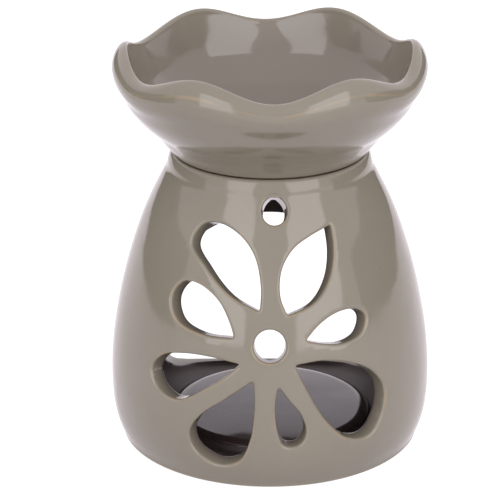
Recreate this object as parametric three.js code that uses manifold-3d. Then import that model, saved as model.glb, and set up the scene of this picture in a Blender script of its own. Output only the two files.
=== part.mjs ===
// Wax melt burner: a pierced round body of glazed earthenware with a six-lobed dish on its mouth.
// Millimetres, +Z up. The table is z = 0, the flower faces -Y, and the origin lies under the middle
// of the whole. Everything is made round the axis of the body and then moved by axisBehind.
import * as THREE from "three";
import { mergeVertices } from "three/addons/utils/BufferGeometryUtils.js";
import Module from "manifold-3d";

// Sizes of the body
const seatHeight = 84.8;        // table to the ring that the dish stands on
const bellyRadius = 47.3;       // widest part of the body
const bodyWall = 4.9;           // thickness of the body wall
const standHeight = 7;          // table to the raised disc that the candle stands on
const standRadius = 28.5;       // edge of that disc
const floorHeight = 3.8;        // table to the lower floor round the disc
const floorRounding = 4;        // hollow corner between the floor and the wall
const seatWidth = 4.1;          // flat ring that the dish rests on, round the mouth
const mouthPlate = 4.2;         // thickness of the inturned top round the mouth
const shoulderWidth = 4.8;      // rounded shoulder outside the seat ring
const shoulderRise = 3.1;       // it stands this far above the seat
const footTuck = 0.8;           // the foot ring stands in from the side by this much
const footRecess = 2.6;         // hollow under the raised disc
const footRingWidth = 11.5;     // unglazed ring that stands on the table

// Sizes of the dish
const rimRadius = 45.1;         // widest part of the dish
const dishHeight = 31.9;        // foot of the dish to the middle of its wavy rim
const dishWall = 4.2;           // thickness of the dish wall
const lobeCount = 6;            // lobes round the dish
const rimWave = 2.5;            // crests stand this far above the middle of the rim
const lobeSwell = 0.8;          // lobes stand out this far half way up the dish
const crestLean = 0.3;          // crests lean in by this much at the rim
const dishTurn = 1.7;           // degrees that the loose dish stands turned on its seat
const lipDrop = 5.5;            // the rounded lip falls this far from its inner edge outwards
const locatorDepth = 2.2;       // underside that drops into the mouth
const heelRise = 3.15;          // underside follows the shoulder up by this much before the side
const heelTuck = 1.0;           // and ends this far in from the lower edge of the side
const heelReach = 2.5;          // or this far out from the seat, whichever lies further in

// Fits
const restGap = 0.3;            // glaze-thick gap where the dish rests on the body
const locatorClearance = 0.4;   // round the part of the dish inside the mouth
const cutSoftening = 0.7;       // rounding of every pierced edge

// Pierced holes
const flowerHeight = 44;        // table to the middle of the flower
const centreHoleRadius = 4.7;
const ventRadius = 3.6;
const ventRise = 36;            // middle of the flower to the middle of the vent
const ventOffset = 1.8;
const rearHalfWidth = 33.5;     // wide opening at the back, for putting in the candle
const rearSill = 5.1;           // table to its flat lower edge
const rearTop = 54;             // table to the top of its arch
const rearCorner = 8;           // rounding of its lower corners
const rearFlat = 36.5;          // axis to the straight edge of the base in the opening
const axisBehind = 1.25;        // axis of the body behind the middle of the whole

// Fineness
const turns = 72;               // facets round the body
const dishTurns = 84;           // facets round the dish, a multiple of the lobes

// Outer side of the body from the foot to the shoulder: height and radius as shares of
// seatHeight and bellyRadius.
const bodySide = [
  [0.015, 0.936], [0.06, 0.967], [0.115, 0.989], [0.22, 1], [0.345, 0.987], [0.495, 0.945],
  [0.66, 0.872], [0.82, 0.774], [0.945, 0.668], [0.982, 0.633],
];

// Outer side of the dish from its lower edge to the lip: height and radius as shares of
// the height up to the lip and of rimRadius.
const dishSide = [
  [0.127, 0.634], [0.216, 0.678], [0.352, 0.7435], [0.492, 0.831], [0.628, 0.894],
  [0.765, 0.938], [0.9, 0.985], [1, 1],
];

// Petals of the flower. Every point is given across and up from the middle of the flower, in
// hundredths of bellyRadius and of seatHeight, along the curved wall. Each run is one smooth line;
// runs meet in the pointed ends.
const petals = {
  upperLeft: [[[-6.5, 11.2], [-26.5, 16], [-46.5, 24], [-61.3, 30.7], [-55.5, 36.3], [-40, 37.7],
    [-21, 34.2], [-10.6, 28.3], [-6.1, 19], [-6.5, 11.2]]],
  upperRight: [
    [[11.2, 9.9], [6.8, 16.5], [8.5, 24.8], [17, 30.7], [30.7, 34.2], [49.7, 36.8]],
    [[49.7, 36.8], [47.8, 28.9], [41.9, 21], [29.6, 13.7], [11.2, 9.9]],
  ],
  left: [[[-22, 2.2], [-25.4, 7.1], [-33.8, 13.7], [-48.6, 17.9], [-61.7, 17.5], [-68.9, 11.6],
    [-62.4, 5.2], [-44.4, 2.2], [-22, 2.2]]],
  right: [[[21.8, 1.4], [31.7, 6.3], [44.4, 9.2], [57, 9], [64.3, 5.9], [59.2, 0.7],
    [46.5, -1.2], [33.8, -0.4], [21.8, 1.4]]],
  lowerLeft: [[[-17.5, -6.3], [-36, -5], [-55, -5.7], [-69.8, -8.5], [-77.4, -14.2],
    [-70.8, -20.3], [-57, -22.2], [-39, -16.4], [-26.4, -11], [-17.5, -6.3]]],
  bottomLeft: [[[-9.5, -11.6], [-25.4, -18.6], [-41.2, -26], [-48, -33], [-44.4, -39.4],
    [-30.7, -43.6], [-18.2, -41.3], [-11.4, -33], [-8.9, -21.2], [-9.5, -11.6]]],
  bottom: [[[5, -13.7], [11, -18.6], [18, -24.2], [20.7, -30.7], [16.5, -35.1], [8.5, -35],
    [4.4, -29.5], [3.2, -20], [5, -13.7]]],
  lowerRight: [[[14.8, -6.5], [31.7, -5.9], [48.6, -8], [63.4, -12.7], [72.5, -20], [71, -29.1],
    [61.3, -36.1], [47.1, -35.1], [33.4, -27.5], [22.2, -15.9], [14.8, -6.5]]],
};

const wasm = await Module();
wasm.setup();

const points2 = (list) => list.map(([x, y]) => new THREE.Vector2(x, y));

// Smooth line through a few points, sampled evenly.
function smoothLine(list, count) {
  const curve = new THREE.CatmullRomCurve3(
    list.map(([x, y]) => new THREE.Vector3(x, y, 0)), false, "centripetal");
  return curve.getSpacedPoints(count).map((p) => new THREE.Vector2(p.x, p.y));
}

// Body side as radius against height, finely sampled, with the slope for the wall's normal.
const sideLine = smoothLine(bodySide.map(([h, r]) => [r * bellyRadius, h * seatHeight]), 200);

function sideAt(height) {
  let i = sideLine.findIndex((p) => p.y > height);
  if (i < 1) i = i === 0 ? 1 : sideLine.length - 1;
  const a = sideLine[i - 1];
  const b = sideLine[i];
  const t = (height - a.y) / (b.y - a.y);
  const direction = new THREE.Vector2(b.x - a.x, b.y - a.y).normalize();
  return { radius: a.x + (b.x - a.x) * t, normal: new THREE.Vector2(direction.y, -direction.x) };
}

const flowerRadius = sideAt(flowerHeight).radius;

// Point on the body wall: across and up from the middle of the flower, sunk by depth along the
// wall's own normal.
function onWall(across, up, depth) {
  const height = flowerHeight + up;
  const { radius, normal } = sideAt(height);
  const turn = across / flowerRadius;
  const r = radius - normal.x * depth;
  return new THREE.Vector3(r * Math.sin(turn), -r * Math.cos(turn), height - normal.y * depth);
}

// Outline moved outwards by a distance, along the mean normal at each point.
function grow(outline, distance) {
  const n = outline.length;
  const sign = THREE.ShapeUtils.area(outline) > 0 ? 1 : -1;
  return outline.map((p, i) => {
    const before = outline[(i + n - 1) % n];
    const after = outline[(i + 1) % n];
    const along = new THREE.Vector2().subVectors(after, before).normalize();
    return new THREE.Vector2(p.x + along.y * distance * sign, p.y - along.x * distance * sign);
  });
}

// Closed solid from rings of equal length, with flat-cut ends given by one set of triangles.
function solidFromRings(rings, caps) {
  const n = rings[0].length;
  const positions = rings.flat().flatMap((p) => [p.x, p.y, p.z]);
  const index = [];
  for (let k = 0; k + 1 < rings.length; k += 1) {
    for (let i = 0; i < n; i += 1) {
      const a = k * n + i;
      const b = k * n + (i + 1) % n;
      index.push(a, b, a + n, b, b + n, a + n);
    }
  }
  const last = (rings.length - 1) * n;
  caps.forEach(([a, b, c]) => {
    index.push(a, c, b);
    index.push(last + a, last + b, last + c);
  });
  const geometry = new THREE.BufferGeometry();
  geometry.setAttribute("position", new THREE.Float32BufferAttribute(positions, 3));
  geometry.setIndex(index);
  return geometry;
}

// Cutter that passes through the wall square to it and flares a little at both faces.
function wallCutter(outline) {
  const counter = THREE.ShapeUtils.area(outline) > 0 ? outline : outline.slice().reverse();
  const outside = 2 * bodyWall;
  const within = 2.6 * bodyWall;
  const flare = 1.6 * cutSoftening;
  const clear = 0.6 * cutSoftening;
  const levels = [
    [-outside, flare], [-clear, flare], [cutSoftening, 0],
    [bodyWall - cutSoftening, 0], [bodyWall + clear, flare], [within, flare],
  ];
  const rings = levels.map(([depth, growth]) =>
    grow(counter, growth).map((p) => onWall(p.x, p.y, depth)));
  const caps = THREE.ShapeUtils.triangulateShape(counter, []);
  return solidFromRings(rings.reverse(), caps);
}

function petalOutline(runs) {
  const outline = [];
  for (const run of runs) {
    const line = smoothLine(
      run.map(([x, y]) => [x * bellyRadius / 100, y * seatHeight / 100]), runs.length > 1 ? 12 : 24);
    line.pop();
    outline.push(...line);
  }
  return outline;
}

function roundOutline(across, up, radius, count) {
  const widen = flowerRadius / sideAt(flowerHeight + up).radius;
  return Array.from({ length: count }, (_, i) => {
    const a = 2 * Math.PI * i / count;
    return new THREE.Vector2(across + widen * radius * Math.cos(a), up + radius * Math.sin(a));
  });
}

function toManifold(geometry) {
  const plain = geometry.clone();
  plain.deleteAttribute("normal");
  plain.deleteAttribute("uv");
  const merged = mergeVertices(plain, 1e-4);
  return new wasm.Manifold(new wasm.Mesh({
    numProp: 3,
    vertProperties: new Float32Array(merged.attributes.position.array),
    triVerts: new Uint32Array(merged.index.array),
  }));
}

function toGeometry(solid) {
  const mesh = solid.getMesh();
  const geometry = new THREE.BufferGeometry();
  const positions = new Float32Array(mesh.numVert * 3);
  for (let i = 0; i < mesh.numVert; i += 1) {
    for (let k = 0; k < 3; k += 1) positions[3 * i + k] = mesh.vertProperties[i * mesh.numProp + k];
  }
  geometry.setAttribute("position", new THREE.BufferAttribute(positions, 3));
  geometry.setIndex(new THREE.BufferAttribute(new Uint32Array(mesh.triVerts), 1));
  geometry.computeVertexNormals();
  return geometry;
}

// Solid of revolution about Z from a closed outline of radius and height.
function turned(outline, segments) {
  const closed = [...outline, outline[0].clone()];
  const geometry = new THREE.LatheGeometry(closed, segments);
  geometry.rotateX(Math.PI / 2);
  return geometry;
}

// Shell of the body: side, rounded shoulder, seat, mouth, inner wall, floor with its raised disc
// and recessed base.
function bodyShell() {
  const inside = (height) => {
    const { radius, normal } = sideAt(height);
    return [radius - normal.x * bodyWall, height - normal.y * bodyWall];
  };
  const outer = smoothLine(bodySide.map(([h, r]) => [r * bellyRadius, h * seatHeight]), 15);
  const shoulder = outer[outer.length - 1];
  const seatEdge = shoulder.x - shoulderWidth;
  const mouthRadius = seatEdge - seatWidth;
  const inner = [0.9, 0.82, 0.7, 0.57, 0.45, 0.35, 0.25, 0.17].map(
    (share) => inside(share * seatHeight));
  const [wallRadius] = inside(floorHeight + floorRounding);
  const fillet = [0, 1, 2, 3, 4].map((i) => {
    const a = i * Math.PI / 8;
    const out = floorRounding * (1 - Math.cos(a));
    return [wallRadius - out, floorHeight + floorRounding * (1 - Math.sin(a))];
  });
  const step = standHeight - floorHeight;
  const roll = [[4.4, 0], [3, 0.12], [1.8, 0.5], [0.9, 0.82], [-0.6, 1]].map(
    ([out, share]) => [standRadius + out, floorHeight + share * step]);
  const footRadius = outer[0].x - footTuck;
  const outline = points2([
    [footRadius, 0],
    ...outer.map((p) => [p.x, p.y]),
    [shoulder.x - 0.5, shoulder.y + 0.55 * (seatHeight + shoulderRise - shoulder.y)],
    [shoulder.x - 1.4, seatHeight + shoulderRise - 0.1],
    [shoulder.x - 2.2, seatHeight + shoulderRise],
    [shoulder.x - 3.3, seatHeight + 0.55 * shoulderRise],
    [seatEdge, seatHeight],
    [mouthRadius, seatHeight],
    [mouthRadius, seatHeight - mouthPlate],
    ...inner,
    ...fillet,
    ...roll,
    [0.0, standHeight],
    [0.0, footRecess],
    [footRadius - footRingWidth - footRecess, footRecess],
    [footRadius - footRingWidth, 0],
  ]);
  return { geometry: turned(outline, turns), seatEdge, mouthRadius };
}

// Rear opening: flat sill, rounded lower corners, elliptical arch above.
function rearCutter() {
  const sill = rearSill;
  const spring = sill + 0.5 * (rearTop - sill);
  const rise = rearTop - spring;
  const shape = new THREE.Shape();
  shape.moveTo(-rearHalfWidth + rearCorner, sill);
  shape.lineTo(rearHalfWidth - rearCorner, sill);
  shape.quadraticCurveTo(rearHalfWidth, sill, rearHalfWidth, sill + 1.3 * rearCorner);
  shape.lineTo(rearHalfWidth, spring);
  shape.absellipse(0, spring, rearHalfWidth, rise, 0, Math.PI, false);
  shape.lineTo(-rearHalfWidth, sill + 1.3 * rearCorner);
  shape.quadraticCurveTo(-rearHalfWidth, sill, -rearHalfWidth + rearCorner, sill);
  const geometry = new THREE.ExtrudeGeometry(shape, {
    depth: 2 * bellyRadius, bevelEnabled: false, curveSegments: 14,
  });
  geometry.rotateX(Math.PI / 2);
  geometry.translate(0, 2 * bellyRadius, 0);
  return geometry;
}

// Cuts the base off straight below the rear opening, so that the floor ends in a flat edge.
function baseCutter() {
  const below = 1;
  const height = rearSill + 0.5 + below;
  const geometry = new THREE.BoxGeometry(2 * rearHalfWidth, bellyRadius, height);
  geometry.translate(0, rearFlat + bellyRadius / 2, height / 2 - below);
  return geometry;
}

function burnerBody() {
  const shell = bodyShell();
  let solid = toManifold(shell.geometry);
  const cutters = [
    ...Object.values(petals).map((runs) => wallCutter(petalOutline(runs))),
    wallCutter(roundOutline(0, 0, centreHoleRadius, 24)),
    wallCutter(roundOutline(ventOffset, ventRise, ventRadius, 20)),
    rearCutter(),
    baseCutter(),
  ];
  for (const cutter of cutters) solid = solid.subtract(toManifold(cutter));
  return { geometry: toGeometry(solid), seatEdge: shell.seatEdge, mouthRadius: shell.mouthRadius };
}

// Dish: underside that drops into the mouth, outer side, rounded lip, inner side and lobes.
function waxDish(seatEdge, mouthRadius) {
  const base = seatHeight + restGap;
  const top = base + dishHeight;
  const side = smoothLine(
    dishSide.map(([h, r]) => [r * rimRadius, base + h * (dishHeight - lipDrop)]), 12);
  const innerLip = rimRadius - dishWall;
  const locator = mouthRadius - locatorClearance;
  const bowlFloor = base - locatorDepth + dishWall;
  const lipStart = innerLip + 0.4;
  const heelRadius = Math.min(side[0].x - heelTuck, seatEdge + heelReach);
  const lip = [1, 2, 3, 4, 5].map((i) => {
    const a = i * Math.PI / 10;
    return [lipStart + (rimRadius - lipStart) * Math.cos(a), top - lipDrop * (1 - Math.sin(a))];
  });
  const inner = [];
  for (let i = side.length - 2; i >= 2; i -= 2) {
    const along = new THREE.Vector2().subVectors(side[i + 1], side[i - 1]).normalize();
    inner.push([side[i].x - along.y * dishWall, side[i].y + along.x * dishWall]);
  }
  const lastInner = inner[inner.length - 1];
  const outline = [
    [locator - 0.6, base - locatorDepth],
    [locator, base - locatorDepth + 0.6],
    [locator, base],
    [seatEdge - 0.2, base],
    [heelRadius, base + heelRise],
    ...side.map((p) => [p.x, p.y]),
    ...lip,
    [innerLip, top - 0.4],
    [innerLip - 0.1, top - 0.5 * lipDrop],
    ...inner,
    [0.78 * lastInner[0], bowlFloor + 0.42 * (lastInner[1] - bowlFloor)],
    [0.55 * lastInner[0], bowlFloor + 0.1 * (lastInner[1] - bowlFloor)],
  ];
  const positions = [0, 0, base - locatorDepth];
  for (const [radius, height] of outline) {
    const share = Math.max(0, (height - side[0].y) / (top - side[0].y));
    const swell = lobeSwell * Math.sin(Math.PI * Math.min(1, share)) * (height > side[0].y ? 1 : 0);
    for (let k = 0; k < dishTurns; k += 1) {
      const turn = 2 * Math.PI * k / dishTurns;
      const wave = Math.cos(lobeCount * turn);
      const r = radius + swell * wave - crestLean * wave * share ** 4;
      const z = height + rimWave * wave * share ** 2;
      positions.push(r * Math.cos(turn), r * Math.sin(turn), z);
    }
  }
  positions.push(0, 0, bowlFloor);
  const end = outline.length * dishTurns + 1;
  const index = [];
  for (let k = 0; k < dishTurns; k += 1) {
    const next = (k + 1) % dishTurns;
    index.push(0, 1 + next, 1 + k);
    for (let i = 0; i + 1 < outline.length; i += 1) {
      const a = 1 + i * dishTurns + k;
      const b = 1 + i * dishTurns + next;
      index.push(a, b, a + dishTurns, b, b + dishTurns, a + dishTurns);
    }
    index.push(end - dishTurns + k, end - dishTurns + next, end);
  }
  const geometry = new THREE.BufferGeometry();
  geometry.setAttribute("position", new THREE.Float32BufferAttribute(positions, 3));
  geometry.setIndex(index);
  return toGeometry(toManifold(geometry));
}

function glazed(name, geometry, colour) {
  const mesh = new THREE.Mesh(geometry, new THREE.MeshStandardMaterial({
    color: colour, roughness: 0.18, metalness: 0,
  }));
  mesh.name = name;
  return mesh;
}

const burner = new THREE.Group();
burner.name = "wax_melt_burner";
const body = burnerBody();
burner.add(glazed("burner_body", body.geometry, 0x938a7f));
const dish = glazed("wax_dish", waxDish(body.seatEdge, body.mouthRadius), 0x8e867a);
dish.rotation.z = THREE.MathUtils.degToRad(dishTurn);
burner.add(dish);
burner.position.y = axisBehind;

export default burner;
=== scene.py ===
"""Wax melt burner: the glazed body and its lobed dish, photographed on a white table."""

import math

import bmesh
import bpy
import numpy as np
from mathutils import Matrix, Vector
from mathutils.geometry import delaunay_2d_cdt


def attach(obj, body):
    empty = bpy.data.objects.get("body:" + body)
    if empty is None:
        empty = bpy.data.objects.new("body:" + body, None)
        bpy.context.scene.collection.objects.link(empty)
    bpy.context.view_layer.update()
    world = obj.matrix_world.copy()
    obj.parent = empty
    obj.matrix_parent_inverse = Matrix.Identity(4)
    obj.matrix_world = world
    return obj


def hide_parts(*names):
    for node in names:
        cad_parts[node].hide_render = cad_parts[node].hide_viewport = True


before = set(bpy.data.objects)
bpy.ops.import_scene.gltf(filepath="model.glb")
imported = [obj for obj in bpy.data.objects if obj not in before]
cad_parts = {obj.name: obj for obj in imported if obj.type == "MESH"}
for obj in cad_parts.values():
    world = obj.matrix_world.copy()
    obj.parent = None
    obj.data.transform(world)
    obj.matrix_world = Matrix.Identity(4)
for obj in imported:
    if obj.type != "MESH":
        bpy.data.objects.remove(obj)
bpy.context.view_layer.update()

# Sizes in millimetres, those of the part
SEAT = 84.8             # table to the ring that the dish stands on
BELLY = 47.28           # widest part of the body, a hair inside the faceted one
WALL = 4.9              # thickness of the body wall
STAND = 7.0             # table to the raised disc that the candle stands on
STAND_RADIUS = 28.5     # edge of that disc
FLOOR = 3.8             # table to the lower floor round the disc
FLOOR_ROUNDING = 4.0    # hollow corner between the floor and the wall
SEAT_WIDTH = 4.1        # flat ring that the dish rests on, round the mouth
MOUTH_PLATE = 4.2       # thickness of the inturned top round the mouth
SHOULDER_WIDTH = 4.8    # rounded shoulder outside the seat ring
SHOULDER_RISE = 3.1     # it stands this far above the seat
FOOT_TUCK = 0.8         # the foot ring stands in from the side by this much
FOOT_RECESS = 2.6       # hollow under the raised disc
FOOT_RING = 11.5        # width of the unglazed ring that stands on the table
FLOWER_HEIGHT = 44.0    # table to the middle of the flower
CENTRE_HOLE = 4.7       # radius of the hole in the middle of the flower
VENT_RADIUS = 3.6       # small hole above the flower
VENT_RISE = 36.0        # middle of the flower to the middle of the vent
VENT_OFFSET = 1.8       # sideways to the middle of the vent
REAR_HALF = 33.5        # half the width of the opening at the back
REAR_SILL = 5.1         # table to its flat lower edge
REAR_TOP = 54.0         # table to the top of its arch
REAR_CORNER = 8.0       # rounding of its lower corners
REAR_FLAT = 36.5        # axis to the straight edge of the base below it
RIM = 45.0              # widest part of the dish, a hair inside the faceted one
DISH_HEIGHT = 31.9      # foot of the dish to the middle of its wavy rim
DISH_WALL = 4.2         # thickness of the dish wall
LOBES = 6               # lobes round the dish
RIM_WAVE = 2.5          # crests stand this far above the middle of the rim
LOBE_SWELL = 0.8        # lobes stand out this far half way up the dish
CREST_LEAN = 0.3        # crests lean in by this much at the rim
DISH_TURN = 1.7         # degrees that the loose dish stands turned on its seat
LIP_DROP = 5.5          # the rounded lip falls this far from its inner edge outwards
LOCATOR_DEPTH = 2.2     # underside that drops into the mouth
HEEL_RISE = 3.15        # the underside follows the shoulder up by this much
HEEL_TUCK = 1.0         # and ends this far in from the lower edge of the side
REST_GAP = 0.3          # where the dish rests on the body
LOCATOR_GAP = 0.4       # round the part of the dish inside the mouth
AXIS_BEHIND = 1.25      # axis of the body behind the middle of the whole
MILLIMETRE = 0.001      # in metres

# Softening of the glaze over the edges and the raised disc
EDGE_OUT = 0.85         # rounding of every cut on the outside
EDGE_IN = 0.7           # rounding of every cut on the inside
# painted shade of the chamber where the inner edge of a cut starts; the chamber has 1
CUT_EDGE_SHADE = 0.3       # inside mark where the inner edge of a cut starts; the chamber has 1
LIP_EDGE = 0.9          # rounding of the inner edge of the lip
STAND_DOME = 1.5        # fall of the raised disc from its middle to its edge
STAND_CROWN = 0.45      # share of that fall that the middle stands above the disc's height

GRID = 1.15
TURNS = 264
DISH_TURNS = 312
CUT_SPACING = 0.55
REAR_SPACING = 0.6

# Outer side of the body from foot to shoulder: height and radius as shares of SEAT and BELLY
BODY_SIDE = [
    (0.015, 0.936), (0.06, 0.967), (0.115, 0.989), (0.22, 1), (0.345, 0.987), (0.495, 0.945),
    (0.66, 0.872), (0.82, 0.774), (0.945, 0.668), (0.982, 0.633),
]

# Outer side of the dish from its foot: height as a share of the lip's, radius as a share of RIM
DISH_SIDE = [
    (0.127, 0.634), (0.216, 0.678), (0.352, 0.7435), (0.492, 0.831), (0.628, 0.894),
    (0.765, 0.938), (0.9, 0.985), (1, 1),
]

# Smooth runs round each petal, across and up from the middle in hundredths of BELLY and SEAT
PETALS = {
    "upper left": [
        [(-6.5, 11.2), (-26.5, 16), (-46.5, 24), (-61.3, 30.7), (-55.5, 36.3), (-40, 37.7),
         (-21, 34.2), (-10.6, 28.3), (-6.1, 19), (-6.5, 11.2)]],
    "upper right": [
        [(11.2, 9.9), (6.8, 16.5), (8.5, 24.8), (17, 30.7), (30.7, 34.2), (49.7, 36.8)],
        [(49.7, 36.8), (47.8, 28.9), (41.9, 21), (29.6, 13.7), (11.2, 9.9)]],
    "left": [
        [(-22, 2.2), (-25.4, 7.1), (-33.8, 13.7), (-48.6, 17.9), (-61.7, 17.5), (-68.9, 11.6),
         (-62.4, 5.2), (-44.4, 2.2), (-22, 2.2)]],
    "right": [
        [(21.8, 1.4), (31.7, 6.3), (44.4, 9.2), (57, 9), (64.3, 5.9), (59.2, 0.7),
         (46.5, -1.2), (33.8, -0.4), (21.8, 1.4)]],
    "lower left": [
        [(-17.5, -6.3), (-36, -5), (-55, -5.7), (-69.8, -8.5), (-77.4, -14.2), (-70.8, -20.3),
         (-57, -22.2), (-39, -16.4), (-26.4, -11), (-17.5, -6.3)]],
    "bottom left": [
        [(-9.5, -11.6), (-25.4, -18.6), (-41.2, -26), (-48, -33), (-44.4, -39.4), (-30.7, -43.6),
         (-18.2, -41.3), (-11.4, -33), (-8.9, -21.2), (-9.5, -11.6)]],
    "bottom": [
        [(5, -13.7), (11, -18.6), (18, -24.2), (20.7, -30.7), (16.5, -35.1), (8.5, -35),
         (4.4, -29.5), (3.2, -20), (5, -13.7)]],
    "lower right": [
        [(14.8, -6.5), (31.7, -5.9), (48.6, -8), (63.4, -12.7), (72.5, -20), (71, -29.1),
         (61.3, -36.1), (47.1, -35.1), (33.4, -27.5), (22.2, -15.9), (14.8, -6.5)]],
}


def smooth_line(points, count):
    """Centripetal curve through the points, sampled evenly along its length."""
    samples = 120
    p = np.array(points, float)
    p = np.vstack([2 * p[0] - p[1], p, 2 * p[-1] - p[-2]])
    found = []
    for i in range(len(p) - 3):
        a, b, c, d = p[i:i + 4]
        d0 = max(np.linalg.norm(b - a) ** 0.5, 1e-6)
        d1 = max(np.linalg.norm(c - b) ** 0.5, 1e-6)
        d2 = max(np.linalg.norm(d - c) ** 0.5, 1e-6)
        t1 = ((b - a) / d0 - (c - a) / (d0 + d1) + (c - b) / d1) * d1
        t2 = ((c - b) / d1 - (d - b) / (d1 + d2) + (d - c) / d2) * d1
        t = np.linspace(0, 1, samples, endpoint=i == len(p) - 4)[:, None]
        found.append(b + t1 * t + (3 * (c - b) - 2 * t1 - t2) * t ** 2
                     + (t1 + t2 - 2 * (c - b)) * t ** 3)
    return even(np.vstack(found), count)


def lengths(line):
    """Distance along the line from its start to each of its points."""
    return np.concatenate([[0], np.cumsum(np.linalg.norm(np.diff(line, axis=0), axis=1))])


def even(line, count):
    """The line resampled to count + 1 points at equal distances."""
    s = lengths(line)
    at = np.linspace(0, s[-1], count + 1)
    return np.stack([np.interp(at, s, line[:, k]) for k in range(line.shape[1])], 1)


def arc(centre, radius, start, end, count):
    """Points of a circle between two angles in degrees."""
    a = np.radians(np.linspace(start, end, count))
    return [(centre[0] + radius * math.cos(t), centre[1] + radius * math.sin(t)) for t in a]


# Outer side of the body as radius and height, with its slope for the wall's normal
SIDE = smooth_line([(r * BELLY, h * SEAT) for h, r in BODY_SIDE], 600)
SIDE_LENGTH = lengths(SIDE)
TANGENT = np.gradient(SIDE, axis=0)
TANGENT /= np.linalg.norm(TANGENT, axis=1)[:, None]
NORMAL = np.stack([TANGENT[:, 1], -TANGENT[:, 0]], 1)


def at_height(height, values):
    """What the values along the outer side are at a height."""
    return np.interp(height, SIDE[:, 1], values)


FLOWER_RADIUS = float(at_height(FLOWER_HEIGHT, SIDE[:, 0]))
SEAT_EDGE = SIDE[-1, 0] - SHOULDER_WIDTH
MOUTH = SEAT_EDGE - SEAT_WIDTH
FOOT = SIDE[0, 0] - FOOT_TUCK
DISH_BASE = SEAT + REST_GAP
DISH_TOP = DISH_BASE + DISH_HEIGHT


def inner_line():
    """Inside of the body from the edge of the flat floor up to the mouth plate."""
    ceiling_start = 0.9 * SEAT
    heights = np.linspace(FLOOR + FLOOR_ROUNDING, ceiling_start, 60)
    wall = np.stack([at_height(heights, SIDE[:, k]) - at_height(heights, NORMAL[:, k]) * WALL
                     for k in (0, 1)], 1)
    a = np.linspace(math.pi / 2, 0, 40)
    corner = np.stack([wall[0, 0] - FLOOR_ROUNDING * (1 - np.cos(a)),
                       FLOOR + FLOOR_ROUNDING * (1 - np.sin(a))], 1)
    ceiling = np.array([(MOUTH, SEAT - MOUTH_PLATE)])
    return even(np.vstack([corner, wall, ceiling]), 700)


INNER = inner_line()
INNER_LENGTH = lengths(INNER)


def wall_depths():
    """For every height of the outer side, how deep the inside lies along the wall's normal."""
    depth = np.zeros(len(SIDE))
    length = np.zeros(len(SIDE))
    for i in range(len(SIDE)):
        away = INNER - SIDE[i]
        across = away @ TANGENT[i]
        into = -(away @ NORMAL[i])
        crossing = np.where((across[:-1] * across[1:] <= 0) & (into[:-1] > 0))[0]
        k = crossing[0] if len(crossing) else int(np.argmin(np.abs(across)))
        t = across[k] / (across[k] - across[k + 1] + 1e-12) if len(crossing) else 0.0
        depth[i] = into[k] + t * (into[min(k + 1, len(into) - 1)] - into[k])
        length[i] = INNER_LENGTH[k] + t * (INNER_LENGTH[1] - INNER_LENGTH[0])
    return depth, length


DEPTH, DEPTH_LENGTH = wall_depths()


def on_wall(across, height, depth):
    """Points of the wall: turn across in flower millimetres, height on the outside, and depth."""
    turn = across / FLOWER_RADIUS
    r = at_height(height, SIDE[:, 0]) - at_height(height, NORMAL[:, 0]) * depth
    z = height - at_height(height, NORMAL[:, 1]) * depth
    return np.stack([r * np.sin(turn), -r * np.cos(turn), z], 1)


def revolve(across, length, line, line_length):
    """Points of a turned sheet: turn across in flower millimetres and length along its profile."""
    turn = across / FLOWER_RADIUS
    r = np.interp(length, line_length, line[:, 0])
    z = np.interp(length, line_length, line[:, 1])
    return np.stack([r * np.sin(turn), -r * np.cos(turn), z], 1)


def softened(line, times):
    """A closed line with its corners drawn in."""
    for _ in range(times):
        line = (np.roll(line, 1, 0) + 2 * line + np.roll(line, -1, 0)) / 4
    return line


def petal_outline(runs):
    """Counter-clockwise outline of a petal in millimetres from the middle of the flower."""
    hundredths = np.array([BELLY / 100, SEAT / 100])
    parts = [smooth_line(np.array(run, float) * hundredths, 200)[:-1] for run in runs]
    line = np.vstack([*parts, parts[0][:1]])
    count = int(lengths(line)[-1] / CUT_SPACING)
    line = softened(even(line, count)[:-1], 3)
    area = np.sum(line[:, 0] * np.roll(line[:, 1], -1) - line[:, 1] * np.roll(line[:, 0], -1))
    return line if area > 0 else line[::-1].copy()


def grow(line, distance):
    """A counter-clockwise closed outline moved outwards."""
    along = np.roll(line, -1, 0) - np.roll(line, 1, 0)
    along /= np.linalg.norm(along, axis=1)[:, None]
    return line + np.stack([along[:, 1], -along[:, 0]], 1) * distance


def inside(points, line):
    """Which points lie in the closed outline."""
    x, y = points[:, 0][:, None], points[:, 1][:, None]
    a, b = line, np.roll(line, -1, 0)
    crosses = (a[:, 1] > y) != (b[:, 1] > y)
    at = a[:, 0] + (y - a[:, 1]) * (b[:, 0] - a[:, 0]) / (b[:, 1] - a[:, 1] + 1e-12)
    return (crosses & (x < at)).sum(1) % 2 == 1


def nearest(points, line):
    """Distance from each point to the closest point of the outline."""
    part = 64
    best = np.full(len(points), 1e9)
    for start in range(0, len(line), part):
        d = np.linalg.norm(points[:, None] - line[None, start:start + part], axis=2).min(1)
        best = np.minimum(best, d)
    return best


def placed(name, data):
    """A new object in the scene."""
    piece = bpy.data.objects.new(name, data)
    bpy.context.scene.collection.objects.link(piece)
    return piece


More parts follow.
